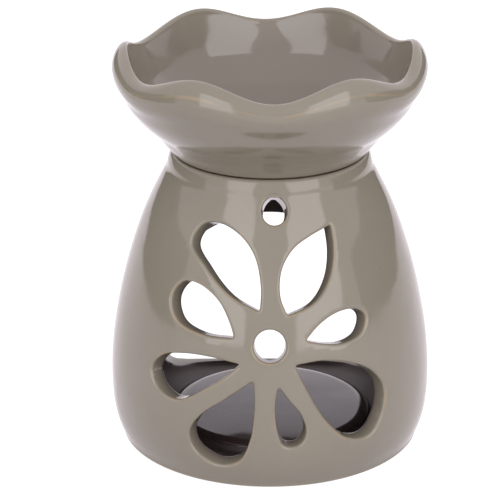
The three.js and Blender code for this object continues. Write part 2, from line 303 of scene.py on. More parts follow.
class Surface:
    """Collects welded patches of one closed mesh with its edge and inside marks; the inside marks
    paint shade in the body's chamber.
    """

    def __init__(self):
        self.points, self.faces, self.edge, self.inner = [], [], [], []
        self.count = 0
        self.marks = {}

    def add(self, points, faces, edge, inner):
        """A patch with a mark of each kind for each point or one for all."""
        n = len(points)
        self.points.append(np.asarray(points, float))
        self.edge.append(np.broadcast_to(np.asarray(edge, float), (n,)).copy())
        self.inner.append(np.broadcast_to(np.asarray(inner, float), (n,)).copy())
        self.faces += [tuple(int(v) + self.count for v in f) for f in faces]
        self.count += n

    def rows(self, rows, edge, inner, wrap=True, flip=False):
        """A strip of equal rows of points, joined in quads."""
        n = len(rows[0])
        faces = []
        for k in range(len(rows) - 1):
            for i in range(n if wrap else n - 1):
                a, b = k * n + i, k * n + (i + 1) % n
                quad = (a, b, b + n, a + n)
                faces.append(quad[::-1] if flip else quad)
        edge = np.repeat(np.asarray(edge, float), n) if np.ndim(edge) == 1 else edge
        inner = np.repeat(np.asarray(inner, float), n) if np.ndim(inner) == 1 else inner
        self.add(np.vstack(rows), faces, edge, inner)

    def make(self, name):
        """The patches welded into one object, in metres and in the place of the part."""
        weld, sliver = 4e-6, 1e-7
        points = (np.vstack(self.points) + np.array([0, AXIS_BEHIND, 0])) * MILLIMETRE
        mesh = bpy.data.meshes.new(name)
        mesh.from_pydata(points.tolist(), [], self.faces)
        marks = {"edge": np.concatenate(self.edge), "inner": np.concatenate(self.inner),
                 **self.marks}
        for label, values in marks.items():
            mesh.attributes.new(label, "FLOAT", "POINT").data.foreach_set(
                "value", np.asarray(values, np.float32))
        work = bmesh.new()
        work.from_mesh(mesh)
        bmesh.ops.remove_doubles(work, verts=work.verts, dist=weld)
        bmesh.ops.dissolve_degenerate(work, edges=work.edges, dist=sliver)
        bmesh.ops.recalc_face_normals(work, faces=work.faces)
        work.to_mesh(mesh)
        work.free()
        mesh.update()
        mesh.shade_smooth()
        return placed(name, mesh)


# The turned sheets are cut open at this turn from the front, clear of every hole
SEAM_TURN = math.radians(100)
SEAM = SEAM_TURN * FLOWER_RADIUS
ROUND = 2 * math.pi * FLOWER_RADIUS


def sheet_lattice(columns, rows, holes):
    """Staggered points inside a flattened sheet, left out in and close to the holes."""
    edge_clear = 0.3
    hole_clear = 0.42 * GRID
    margin = 2
    lattice = []
    for k, y in enumerate(rows):
        shift = 0.5 * (columns[1] - columns[0]) * (k % 2)
        lattice += [(x + shift, y) for x in columns[1:-1] if x + shift < columns[-1] - edge_clear]
    lattice = np.array(lattice)
    keep = np.ones(len(lattice), bool)
    for hole in holes:
        near = ((lattice > hole.min(0) - margin) & (lattice < hole.max(0) + margin)).all(1)
        chosen = np.where(near)[0]
        if len(chosen):
            part = lattice[chosen]
            drop = inside(part, hole) | (nearest(part, hole) < hole_clear)
            keep[chosen[drop]] = False
    return [tuple(p) for p in lattice[keep]]


def pierced_sheet(line, line_length, holes):
    """A turned sheet without its holes: points, triangles and distances to the nearest hole."""
    reach, far = 3, 99.0
    columns = np.linspace(SEAM - ROUND, SEAM, TURNS + 1)
    high = line_length[-1]
    step = high / max(2, round(high / GRID))
    sides = np.arange(0.0, high + step / 2, step)[1:-1]
    points = [(x, y) for y in (0.0, high) for x in columns]
    points += [(x, y) for x in (columns[0], columns[-1]) for y in sides]
    points += sheet_lattice(columns, sides, holes)
    edges = []
    for hole in holes:
        start = len(points)
        points += [tuple(p) for p in hole]
        n = len(hole)
        edges += [(start + i, start + (i + 1) % n) for i in range(n)]
    result = delaunay_2d_cdt([Vector(p) for p in points], edges, [], 0, 1e-7)
    flat = np.array([tuple(p) for p in result[0]])
    faces = np.array([tuple(f) for f in result[2]])
    centres = flat[faces].mean(1)
    gone = np.zeros(len(faces), bool)
    distance = np.full(len(flat), far)
    for hole in holes:
        near = ((centres > hole.min(0)) & (centres < hole.max(0))).all(1)
        chosen = np.where(near)[0]
        gone[chosen[inside(centres[chosen], hole)]] = True
        around = ((flat > hole.min(0) - reach) & (flat < hole.max(0) + reach)).all(1)
        close = np.where(around)[0]
        distance[close] = np.minimum(distance[close], nearest(flat[close], hole))
    return revolve(flat[:, 0], flat[:, 1], line, line_length), faces[~gone], distance


def ring_row(radius, height):
    """One ring of points round the axis of the body, in step with the sheets."""
    turn = np.linspace(SEAM - ROUND, SEAM, TURNS + 1)[:-1] / FLOWER_RADIUS
    return np.stack([radius * np.sin(turn), -radius * np.cos(turn), np.full(TURNS, height)], 1)


def turned_rows(surface, profile, edge, inner):
    """Rings along a profile of radius and height; a radius of zero closes the sheet."""
    rows = [ring_row(r, z) for r, z in profile if r > 1e-6]
    inner = np.broadcast_to(inner, len(profile))
    surface.rows(rows, edge[:len(rows)], inner[:len(rows)])
    last = profile[-1]
    if last[0] <= 1e-6:
        start = surface.count - TURNS
        centre = surface.count
        surface.add([(0, 0, last[1])], [], edge[-1], inner[-1])
        surface.faces += [(start + i, start + (i + 1) % TURNS, centre) for i in range(TURNS)]


def edge_mark(share):
    """Strength of the thin glaze across a rounded edge, 1 in its middle and weak beside it."""
    return 0.25 + 0.75 * np.sin(np.pi * share)


def wall_row(line, depth):
    """An outline from the middle of the flower laid on the wall and sunk by a depth."""
    return on_wall(line[:, 0], FLOWER_HEIGHT + line[:, 1], depth)


def quarter_round():
    """Steps over a rounded edge: share of the way, and one less its sine and its cosine."""
    for share in np.linspace(0, 1, 6):
        a = share * math.pi / 2
        yield share, 1 - math.sin(a), 1 - math.cos(a)


def pierced_wall(surface, outline):
    """Softened edges and cut wall of one hole, with painted shade that grows over the cut wall
    towards the chamber.
    """
    # painted shade: none on the outer edge, growing along the cut wall, full towards the chamber
    # over the inner edge
    wall_shade, edge_thin = 0.25, 0.8
    rows, marks, dark = [], [], []
    for share, near, far in quarter_round():
        line = grow(outline, EDGE_OUT * near)
        rows.append(wall_row(line, EDGE_OUT * far))
        marks.append(edge_mark(share))
        dark.append(0.0)
    full = at_height(FLOWER_HEIGHT + outline[:, 1], DEPTH)
    for share in np.linspace(0, 1, 7)[1:-1]:
        rows.append(wall_row(outline, EDGE_OUT + share * (full - EDGE_OUT - EDGE_IN)))
        marks.append(0.0)
        dark.append(wall_shade * share)
    for share, near, far in quarter_round():
        line = grow(outline, EDGE_IN * far)
        depth = at_height(FLOWER_HEIGHT + line[:, 1], DEPTH) - EDGE_IN * near
        rows.append(wall_row(line, depth))
        marks.append(edge_thin * edge_mark(share))
        dark.append(CUT_EDGE_SHADE + (1 - CUT_EDGE_SHADE) * share)
    surface.rows(rows, marks, dark)


def rear_outline():
    """Opening at the back seen along Y: flat sill, rounded lower corners, elliptical arch."""
    spring = REAR_SILL + 0.5 * (REAR_TOP - REAR_SILL)
    t = np.linspace(0, 1, 40)[:, None]
    a, b, c = (np.array(p) for p in ((REAR_HALF - REAR_CORNER, REAR_SILL), (REAR_HALF, REAR_SILL),
                                     (REAR_HALF, REAR_SILL + 1.3 * REAR_CORNER)))
    corner = (1 - t) ** 2 * a + 2 * t * (1 - t) * b + t ** 2 * c
    turn = np.linspace(0, math.pi, 160)
    arch = np.stack([REAR_HALF * np.cos(turn), spring + (REAR_TOP - spring) * np.sin(turn)], 1)
    mirror = corner[::-1] * np.array([-1, 1])
    line = np.vstack([corner, arch, mirror, corner[:1]])
    return softened(even(line, int(lengths(line)[-1] / REAR_SPACING))[:-1], 2)


def rear_ring(line, outside, shift):
    """The rear outline carried back onto the outer or the inner side, then moved along Y."""
    above_floor = 0.12
    x, z = line[:, 0], line[:, 1]
    if outside:
        r = at_height(z, SIDE[:, 0])
    else:
        z = np.maximum(z, FLOOR + above_floor)
        r = np.interp(z, INNER[:, 1], INNER[:, 0])
    y = np.sqrt(np.maximum(r ** 2 - x ** 2, 1)) + shift
    return np.stack([x, y, z], 1)


def rear_flat(points, line, line_length):
    """Rear points in the flattened sheet, on the far side of the flower."""
    turn = np.arctan2(points[:, 0], -points[:, 1])
    turn = np.where(turn > SEAM_TURN, turn - 2 * math.pi, turn)
    return np.stack([turn * FLOWER_RADIUS,
                     np.interp(points[:, 2], line[:, 1], line_length)], 1)


def rear_wall(surface, outline):
    """Softened edges and cut wall of the rear opening, with painted shade that grows towards the
    chamber; returns its outer and inner ring.
    """
    fade_start, fade_height, edge_thin = 0.3, 6, 0.7
    rows, marks, dark = [], [], []
    for share, near, far in quarter_round():
        line = grow(outline, EDGE_OUT * near)
        rows.append(rear_ring(line, True, -EDGE_OUT * far))
        marks.append(edge_mark(share))
        dark.append(0.0)
    # close to the floor the inner edge isn't widened
    sides = []
    upward = np.clip((outline[:, 1:] - FLOOR - fade_start) / fade_height, 0, 1)
    for _, near, far in quarter_round():
        grown = grow(outline, EDGE_IN * far)
        line = outline + (grown - outline) * upward
        sides.append(rear_ring(line, False, EDGE_IN * near))
    # painted shade grows along the cut wall and is full at the inner edge
    first, last = rows[-1], sides[0]
    for share in np.linspace(0, 1, 10)[1:-1]:
        rows.append(first + (last - first) * share)
        marks.append(0.0)
        dark.append(CUT_EDGE_SHADE * share)
    steps = len(sides) - 1
    for k, row in enumerate(sides):
        rows.append(row)
        marks.append(edge_thin * edge_mark(k / steps))
        dark.append(CUT_EDGE_SHADE + (1 - CUT_EDGE_SHADE) * k / steps)
    surface.rows(rows, marks, dark)
    return rows[0], rows[-1]


def flatten_rear(points):
    """Draws the base below the rear opening in to its straight edge."""
    start, top = 32.5, 12
    x, y, z = points.T
    around = np.interp(z, [0, *SIDE[:, 1]], [FOOT, *SIDE[:, 0]])
    widest = np.sqrt(np.maximum(around ** 2 - x ** 2, 1))
    low = (z < top) & (y > start) & (widest > REAR_FLAT)
    share = (REAR_FLAT - start) / np.maximum(widest - start, 1e-6)
    points[:, 1] = np.where(low, start + (y - start) * share, y)
    return points


def cut_outlines():
    """Everything that is cut square to the wall: petals, centre hole and vent."""
    turn = np.linspace(0, 2 * math.pi, 64, endpoint=False)
    widen = FLOWER_RADIUS / float(at_height(FLOWER_HEIGHT + VENT_RISE, SIDE[:, 0]))
    centre = np.stack([CENTRE_HOLE * np.cos(turn), CENTRE_HOLE * np.sin(turn)], 1)
    vent = np.stack([VENT_OFFSET + widen * VENT_RADIUS * np.cos(turn),
                     VENT_RISE + VENT_RADIUS * np.sin(turn)], 1)
    return [petal_outline(runs) for runs in PETALS.values()] + [centre, vent]


def hole_in_sheet(outline, growth, line_length):
    """Edge of a cut in a flattened sheet; its lengths go with the outer side's points."""
    grown = grow(outline, growth)
    return np.stack([grown[:, 0], at_height(FLOWER_HEIGHT + grown[:, 1], line_length)], 1)


def neck_profile():
    """Rounded shoulder, seat ring and mouth, down to the inside of the wall."""
    edge = 0.5
    top = SIDE[-1]
    crown = SEAT + SHOULDER_RISE
    shoulder = smooth_line([tuple(top), (top[0] - 0.5, top[1] + 0.55 * (crown - top[1])),
                            (top[0] - 1.4, crown - 0.1), (top[0] - 2.2, crown),
                            (top[0] - 3.3, SEAT + 0.55 * SHOULDER_RISE), (SEAT_EDGE, SEAT)], 20)
    mouth = arc((MOUTH + edge, SEAT - edge), edge, 90, 180, 5)
    plate = arc((MOUTH + edge, SEAT - MOUTH_PLATE + edge), edge, 180, 270, 5)
    return [tuple(p) for p in shoulder] + mouth + plate[:-1] + [tuple(INNER[-1])]


def dome(share):
    """How far the raised disc stands above STAND at a share of its radius."""
    return STAND_DOME * (STAND_CROWN - share * share)


def floor_profile():
    """Lower floor and raised disc from the wall to the axis, with their marks of painted shade;
    the lower floor's mark also makes it rougher.
    """
    # painted shade: both marks give the full chamber shade, only the lower floor's makes it
    # rougher
    dark_floor, shaded_disc = 1.0, 0.5
    step = STAND - FLOOR
    roll = smooth_line([(STAND_RADIUS + out, FLOOR + share * step) for out, share in (
        (2.6, 0), (1.8, 0.12), (1.1, 0.5), (0.5, 0.82), (-0.6, 1))], 16)
    flat = [tuple(INNER[0])] + [tuple(p) for p in roll]
    flat = [(r, z + dome(r / STAND_RADIUS) * (r < STAND_RADIUS + 1)) for r, z in flat]
    flat += [(STAND_RADIUS * share, STAND + dome(share))
             for share in (0.92, 0.85, 0.75, 0.6, 0.45, 0.3, 0.15, 0)]
    marks = [dark_floor if r > STAND_RADIUS + 0.8 else shaded_disc for r, _ in flat]
    return flat, marks


def foot_profile():
    """Rounded outer edge, foot ring and recess up to the axis, with their marks of thin glaze."""
    recess = FOOT - FOOT_RING - FOOT_RECESS
    corner = smooth_line(
        [tuple(SIDE[0]), (SIDE[0, 0] - 0.15, 0.5), (FOOT + 0.25, 0.12), (FOOT, 0)], 8)
    under = [tuple(SIDE[0])] + [tuple(p) for p in corner[1:]]
    under += [(FOOT - FOOT_RING, 0), (FOOT - FOOT_RING - 0.4, 0.35), (recess, FOOT_RECESS)]
    under += [(recess * share, FOOT_RECESS) for share in (0.75, 0.5, 0.25, 0)]
    marks = [0.0, 0.3, 0.6, 0.85] + [1.0] * 6 + [0.9, 0.6] + [0.2] * 4
    return under, marks


def build_body():
    """The whole body as one closed mesh."""
    thin_width = 0.5
    surface = Surface()
    outer_holes, inner_holes = [], []
    for outline in cut_outlines():
        pierced_wall(surface, outline)
        outer_holes.append(hole_in_sheet(outline, EDGE_OUT, SIDE_LENGTH))
        inner_holes.append(hole_in_sheet(outline, EDGE_IN, DEPTH_LENGTH))
    first, last = rear_wall(surface, rear_outline())
    outer_holes.append(rear_flat(first, SIDE, SIDE_LENGTH))
    inner_holes.append(rear_flat(last, INNER, INNER_LENGTH))
    # the inner sheet's inside mark of 1 paints it in the chamber's shade; the outer sheet has 0
    for line, line_length, holes, thin, inner in (
            (SIDE, SIDE_LENGTH, outer_holes, 0.3, 0.0),
            (INNER, INNER_LENGTH, inner_holes, 0.25, 1.0)):
        points, faces, near = pierced_sheet(line, line_length, holes)
        surface.add(points, faces, thin * np.exp(-(near / thin_width) ** 2), inner)
    neck = neck_profile()
    turned_rows(surface, neck, [0.0] * len(neck), 0.0)
    flat, dark = floor_profile()
    turned_rows(surface, flat, [0.0] * len(flat), dark)
    under, marks = foot_profile()
    turned_rows(surface, under, marks, 0.0)
    surface.points = [flatten_rear(np.vstack(surface.points))]
    return surface.make("glazed_body")


def dish_underside(side):
    """Underside from the axis: into the mouth, over the seat and up along the shoulder."""
    edge = 0.6
    locator = MOUTH - LOCATOR_GAP
    lowest = DISH_BASE - LOCATOR_DEPTH
    under = [(locator * share, lowest) for share in (0, 0.25, 0.5, 0.75)]
    under += arc((locator - edge, lowest + edge), edge, 270, 360, 6)
    under += [(locator, DISH_BASE - 0.25), (locator + 0.25, DISH_BASE)]
    heel = smooth_line([(SEAT_EDGE - 0.2, DISH_BASE),
                        (side[0, 0] - HEEL_TUCK, DISH_BASE + HEEL_RISE),
                        (side[0, 0] - 0.2, side[0, 1] - 0.05), tuple(side[1])], 14)
    return np.vstack([under, heel[:-1]])


def dish_inside(side, start):
    """Inside from the lip: a wall of even thickness, then one curve down to the middle."""
    every, left_to_curve = 6, 9
    along = np.gradient(side, axis=0)
    along /= np.linalg.norm(along, axis=1)[:, None]
    wall = side - np.stack([along[:, 1], -along[:, 0]], 1) * DISH_WALL
    wall = wall[wall[:, 1] < DISH_TOP - 2 * LIP_DROP][::-1][:-left_to_curve]
    floor = DISH_BASE - LOCATOR_DEPTH + DISH_WALL
    low = wall[-1]
    return smooth_line([tuple(start)] + [tuple(p) for p in wall[::every]]
                       + [(0.78 * low[0], floor + 0.42 * (low[1] - floor)),
                          (0.55 * low[0], floor + 0.1 * (low[1] - floor)),
                          (0.3 * low[0], floor + 0.01), (0, floor)], 70)


def dish_profile():
    """Round section of the dish with its marks, and how far up the lobed side each point is."""
    thin_drop, thin_width = 3.4, 0.55
    shaded = 0.35
    side = smooth_line([(r * RIM, DISH_BASE + h * (DISH_HEIGHT - LIP_DROP))
                        for h, r in DISH_SIDE], 60)
    lip_start = RIM - DISH_WALL + LIP_EDGE
    turn = np.linspace(0, math.pi / 2, 22)
    lip = np.stack([lip_start + (RIM - lip_start) * np.cos(turn),
                    DISH_TOP - LIP_DROP * (1 - np.sin(turn))], 1)
    edge = np.array(arc((lip_start, DISH_TOP - LIP_EDGE), LIP_EDGE, 90, 180, 9))
    under = dish_underside(side)
    line = np.vstack([under, side[1:-1], lip, edge[1:-1], dish_inside(side, edge[-1])])

    marks = np.zeros(len(line))
    inner = np.zeros(len(line))
    first = len(under) + len(side) - 2
    after = first + len(lip)
    drop = DISH_TOP - line[first:after, 1]
    marks[first:after] = np.exp(-((drop - thin_drop) / thin_width) ** 2)
    marks[after:after + 4] = shaded
    inner[after + len(edge) - 2:] = shaded
    height = line[:, 1]
    start = side[0, 1]
    share = np.where(height > start, (height - start) / (DISH_TOP - start), 0)
    return line, marks, inner, share


class Nodes:
    """Adds nodes to a tree and joins them."""

    def __init__(self, tree):
        self.tree = tree

    def add(self, kind, **values):
        """A new node with some of its settings."""
        node = self.tree.nodes.new(kind)
        for key, value in values.items():
            setattr(node, key, value)
        return node

    def join(self, a, b):
        """A link from an output to an input."""
        self.tree.links.new(a, b)

    def fill(self, socket, value):
        """A number, a vector or colour, or a link into an input; None leaves it as it is."""
        if isinstance(value, (int, float, tuple)):
            socket.default_value = value
        elif value is not None:
            self.join(value, socket)

    def math(self, operation, a, b=None, clamp=False):
        """Result of a calculation with numbers or links."""
        node = self.add("ShaderNodeMath", operation=operation, use_clamp=clamp)
        self.fill(node.inputs[0], a)
        self.fill(node.inputs[1], b)
        return node.outputs[0]

    def vector(self, operation, a, b=None):
        """Result of a vector operation; SCALE takes a number second."""
        node = self.add("ShaderNodeVectorMath", operation=operation)
        self.fill(node.inputs[0], a)
        self.fill(node.inputs["Scale" if operation == "SCALE" else 1], b)
        return node.outputs[0]

    def spread(self, value, low, high, to_low=0.0, to_high=1.0):
        """A value stretched from one range to another and held there."""
        node = self.add("ShaderNodeMapRange")
        self.join(value, node.inputs["Value"])
        for key, number in (("From Min", low), ("From Max", high), ("To Min", to_low),
                            ("To Max", to_high)):
            node.inputs[key].default_value = number
        return node.outputs["Result"]

    def mix(self, share, a, b):
        """Two colours mixed by a share."""
        node = self.add("ShaderNodeMix", data_type="RGBA")
        self.fill(node.inputs[0], share)
        for socket, value in ((node.inputs[6], a), (node.inputs[7], b)):
            self.fill(socket, (*value, 1) if isinstance(value, tuple) else value)
        return node.outputs[2]

    def noise(self, at, scale, detail, roughness=0.5):
        """Noise from 0 to 1 at a place."""
        node = self.add("ShaderNodeTexNoise")
        self.join(at, node.inputs["Vector"])
        node.inputs["Scale"].default_value = scale
        node.inputs["Detail"].default_value = detail
        node.inputs["Roughness"].default_value = roughness
        return node.outputs["Fac"]

    def bump(self, height, strength, distance, normal=None, **values):
        """Relief of a height over the normal of the relief below it."""
        node = self.add("ShaderNodeBump", **values)
        node.inputs["Strength"].default_value = strength
        node.inputs["Distance"].default_value = distance
        self.join(height, node.inputs["Height"])
        self.fill(node.inputs["Normal"], normal)
        return node.outputs["Normal"]


def sockets(tree, way, kinds):
    """Inputs or outputs of a node group, each with its kind."""
    for name, kind in kinds.items():
        tree.interface.new_socket(name, in_out=way, socket_type="NodeSocket" + kind)


def lobe_nodes():
    """Geometry nodes that draw a round dish out into lobes with a wavy rim."""
    tree = bpy.data.node_groups.new("dish_lobes", "GeometryNodeTree")
    sockets(tree, "INPUT", {"Dish": "Geometry", "Lobes": "Int", "Turn": "Float", "Axis": "Vector",
                            "Lobe Swell": "Float", "Crest Lean": "Float", "Rim Wave": "Float",
                            "Glaze": "Material"})
    sockets(tree, "OUTPUT", {"Dish": "Geometry"})
    n = Nodes(tree)
    given = n.add("NodeGroupInput")
    found = n.add("NodeGroupOutput")
    up = n.add("GeometryNodeInputNamedAttribute", data_type="FLOAT")
    up.inputs["Name"].default_value = "rise"
    share = up.outputs[0]
    away = n.vector("SUBTRACT", n.add("GeometryNodeInputPosition").outputs[0],
                    given.outputs["Axis"])
    place = n.add("ShaderNodeSeparateXYZ")
    n.join(away, place.inputs[0])
    turn = n.math("SUBTRACT", n.math("ARCTAN2", place.outputs[1], place.outputs[0]),
                  given.outputs["Turn"])
    wave = n.math("COSINE", n.math("MULTIPLY", turn, given.outputs["Lobes"]))
    bulge = n.math("SINE", n.math("MULTIPLY", n.math("MINIMUM", share, 1.0), math.pi))
    swell = n.math("MULTIPLY", bulge, given.outputs["Lobe Swell"])
    lean = n.math("MULTIPLY", n.math("POWER", share, 4.0), given.outputs["Crest Lean"])
    outward = n.math("MULTIPLY", n.math("SUBTRACT", swell, lean), wave)
    upward = n.math("MULTIPLY", n.math("MULTIPLY", n.math("POWER", share, 2.0), wave),
                    given.outputs["Rim Wave"])
    heading = n.vector("NORMALIZE", n.vector("MULTIPLY", away, (1, 1, 0)))
    raised = n.add("ShaderNodeCombineXYZ")
    n.join(upward, raised.inputs[2])
    offset = n.vector("ADD", n.vector("SCALE", heading, outward), raised.outputs[0])
    shape = n.add("GeometryNodeSetPosition")
    n.join(given.outputs["Dish"], shape.inputs["Geometry"])
    n.join(offset, shape.inputs["Offset"])
    real = n.add("GeometryNodeRealizeInstances")
    n.join(shape.outputs[0], real.inputs[0])
    coat = n.add("GeometryNodeSetMaterial")
    n.join(real.outputs[0], coat.inputs["Geometry"])
    n.join(given.outputs["Glaze"], coat.inputs["Material"])
    n.join(coat.outputs[0], found.inputs[0])
    return tree


def build_dish(material):
    """The dish turned round its axis, then drawn into lobes."""
    line, marks, inner, share = dish_profile()
    n = DISH_TURNS
    turn = np.linspace(0, 2 * math.pi, n, endpoint=False)
    surface = Surface()
    rows = [np.stack([r * np.cos(turn), r * np.sin(turn), np.full(n, z)], 1)
            for r, z in line[1:-1]]
    surface.rows(rows, marks[1:-1], inner[1:-1])
    last = surface.count - n
    surface.add([(0, 0, line[0, 1]), (0, 0, line[-1, 1])], [], 0.0, [inner[0], inner[-1]])
    surface.faces += [((i + 1) % n, i, surface.count - 2) for i in range(n)]
    surface.faces += [(last + i, last + (i + 1) % n, surface.count - 1) for i in range(n)]
    surface.marks["rise"] = np.concatenate([np.repeat(share[1:-1], n), [share[0], share[-1]]])
    round_dish = surface.make("round_dish")

    tree = lobe_nodes()
    modifier = round_dish.modifiers.new("lobes", "NODES")
    modifier.node_group = tree
    given = {"Lobes": LOBES, "Turn": math.radians(DISH_TURN),
             "Axis": (0.0, AXIS_BEHIND * MILLIMETRE, 0.0), "Lobe Swell": LOBE_SWELL * MILLIMETRE,
             "Crest Lean": CREST_LEAN * MILLIMETRE, "Rim Wave": RIM_WAVE * MILLIMETRE,
             "Glaze": material}
    for item in tree.interface.items_tree:
        if item.in_out == "INPUT" and item.name in given:
            modifier[item.identifier] = given[item.name]
    bpy.context.view_layer.update()
    graph = bpy.context.evaluated_depsgraph_get()
    mesh = bpy.data.meshes.new_from_object(round_dish.evaluated_get(graph))
    round_dish.modifiers.remove(modifier)
    bpy.data.objects.remove(round_dish)
    mesh.name = "glazed_dish"
    mesh.shade_smooth()
    return placed("glazed_dish", mesh)


def new_material(name):
    """A material, the helper for its nodes and its Principled shader."""
    material = bpy.data.materials.new(name)
    material.use_nodes = True
    return material, Nodes(material.node_tree), material.node_tree.nodes["Principled BSDF"]


def grey(value):
    """A grey as a colour."""
    return (value, value, value, 1)


def linear(r, g, b):
    """Screen colour from 0 to 255 as scene linear."""
    return tuple((c / 255 / 12.92) if c <= 10 else ((c / 255 + 0.055) / 1.055) ** 2.4
                 for c in (r, g, b))


# Colours of the glaze, of the same glaze where it is thin, of painted shade in the body's chamber,
# and of the inside of the bowl
BODY_GLAZE = linear(138, 130, 117)
DISH_GLAZE = linear(136, 128, 115)
THIN_GLAZE = linear(168, 146, 118)
# painted shade: the chamber's glaze drawn dark where little light reaches inside
CHAMBER_SHADE = linear(70, 56, 55)
BOWL_GLAZE = linear(136, 127, 118)
SPECK = linear(84, 66, 50)
GLAZE_IOR = 1.55

# Fineness of what varies over the glaze, in cells per metre
DRIFT_SCALE = 28        # broad drift of the colour
MOTTLE_SCALE = 160      # fine mottle on it
PATCH_SCALE = 95        # patches of an edge where the glaze is thin
RAGGED_SCALE = 420      # ragged limits of these patches
SPECK_SCALE = 190       # cells that may each hold one speck
POLISH_SCALE = 70       # smoother and rougher patches
SWELL_SCALE = 38        # soft swell of the surface
RIPPLE_SCALE = 240      # fine ripple on it

# How much it varies
NOISE = (0.3, 0.7)          # range that holds most of a noise
DRIFT = (0.965, 1.035)      # factors on the colour
MOTTLE = (0.985, 1.015)
PATCHES = (0.38, 0.62, 0.45, 1.05)  # range of the noise, then its factors on the edge mark
RAGGED = (0.25, 0.7, 0.7, 1.15)     # the same for the ragged limits
COVERED = 0.38              # edge marks up to this stay fully covered
THIN_SHARE = 0.55           # most that thin glaze takes of the colour
SPECK_SHARE = 0.5           # most that a speck takes of it
SPECK_RARITY = 0.955        # share of the cells without a speck
SPECK_EDGE = 0.055          # radius of a speck as a share of its cell
SPECK_CORE = 0.02           # radius of its full strength
POLISH = (0.075, 0.125)     # roughness from patch to patch
THIN_ROUGHNESS = 0.06       # added where the glaze is thin
CHAMBER_ROUGHNESS = 0.55    # added in the chamber
SWELL = (0.5, 0.0014)       # strength, and depth in metres
RIPPLE = (0.08, 0.00025)
PIT = (0.25, 0.00008)


def glaze_specks(n, at):
    """1 in the rare dark specks, 0 elsewhere."""
    speckle = n.add("ShaderNodeTexVoronoi", feature="F1")
    n.join(at, speckle.inputs["Vector"])
    speckle.inputs["Scale"].default_value = SPECK_SCALE
    dots = n.spread(speckle.outputs["Distance"], SPECK_EDGE, SPECK_CORE)
    rare = n.add("ShaderNodeSeparateColor")
    n.join(speckle.outputs["Color"], rare.inputs[0])
    return n.math("MULTIPLY", dots, n.math("GREATER_THAN", rare.outputs[0], SPECK_RARITY))


def glaze_thinning(n, at, edge):
    """How thin the glaze lies: patches with ragged limits along the rounded edges."""
    patches = n.spread(n.noise(at, PATCH_SCALE, 2), *PATCHES)
    ragged = n.spread(n.noise(at, RAGGED_SCALE, 3), *RAGGED)
    return n.spread(n.math("MULTIPLY", n.math("MULTIPLY", edge, patches), ragged), COVERED, 1.0)


def glaze_relief(n, at, specks):
    """Soft swell, a fine ripple on it, and a shallow pit in every speck."""
    swell = n.bump(n.noise(at, SWELL_SCALE, 1.5), *SWELL)
    ripple = n.bump(n.noise(at, RIPPLE_SCALE, 2), *RIPPLE, swell)
    return n.bump(specks, *PIT, ripple, invert=True)


def glaze_surface():
    """Colour, roughness and relief of the glaze, shared by both pieces, with painted shade in the
    body's chamber.
    """
    tree = bpy.data.node_groups.new("glaze_surface", "ShaderNodeTree")
    sockets(tree, "INPUT", {"Glaze": "Color", "Thin": "Color", "Inside": "Color"})
    sockets(tree, "OUTPUT", {"Colour": "Color", "Roughness": "Float", "Normal": "Vector"})
    n = Nodes(tree)
    given = n.add("NodeGroupInput")
    found = n.add("NodeGroupOutput")
    at = n.add("ShaderNodeTexCoord").outputs["Object"]
    edge = n.add("ShaderNodeAttribute", attribute_name="edge").outputs["Fac"]
    inner = n.add("ShaderNodeAttribute", attribute_name="inner").outputs["Fac"]
    thin = glaze_thinning(n, at, edge)
    specks = glaze_specks(n, at)

    tone = n.math("MULTIPLY", n.spread(n.noise(at, DRIFT_SCALE, 2), *NOISE, *DRIFT),
                  n.spread(n.noise(at, MOTTLE_SCALE, 4, 0.6), *NOISE, *MOTTLE))
    colour = n.vector("SCALE", given.outputs["Glaze"], tone)
    colour = n.mix(n.math("MULTIPLY", thin, THIN_SHARE), colour, given.outputs["Thin"])
    # painted shade: inside marks draw the colour to the Inside colour, the chamber's shade on the
    # body and the bowl's colour on the dish
    colour = n.mix(n.math("MULTIPLY", inner, 2.0, clamp=True), colour, given.outputs["Inside"])
    colour = n.mix(n.math("MULTIPLY", specks, SPECK_SHARE), colour, SPECK)
    n.join(colour, found.inputs["Colour"])

    # only marks close to 1, those of the chamber, are rougher
    rough = n.spread(n.noise(at, POLISH_SCALE, 3), *NOISE, *POLISH)
    rough = n.math("ADD", rough, n.math("MULTIPLY", thin, THIN_ROUGHNESS))
    rough = n.math("ADD", rough, n.spread(inner, 0.9, 1.0, 0.0, CHAMBER_ROUGHNESS))
    n.join(rough, found.inputs["Roughness"])
    n.join(glaze_relief(n, at, specks), found.inputs["Normal"])
    return tree


GLAZE = glaze_surface()


def glaze_material(name, glaze, inner):
    """Glossy glaze of one piece, in its own colour and that of its inside, which on the body is
    painted shade.
    """
    material, n, shader = new_material(name)
    group = n.add("ShaderNodeGroup", node_tree=GLAZE)
    for key, value in (("Glaze", glaze), ("Thin", THIN_GLAZE), ("Inside", inner)):
        group.inputs[key].default_value = (*value, 1)
    n.join(group.outputs["Colour"], shader.inputs["Base Color"])
    n.join(group.outputs["Roughness"], shader.inputs["Roughness"])
    n.join(group.outputs["Normal"], shader.inputs["Normal"])
    shader.inputs["IOR"].default_value = GLAZE_IOR
    return material


body = build_body()
body.data.materials.append(glaze_material("body_glaze", BODY_GLAZE, CHAMBER_SHADE))
dish = build_dish(glaze_material("dish_glaze", DISH_GLAZE, BOWL_GLAZE))
for piece, node, name, slot in ((body, "burner_body", "burner", "body_glaze"),
                                (dish, "wax_dish", "dish", "dish_glaze")):
    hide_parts(node)
    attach(piece, name)

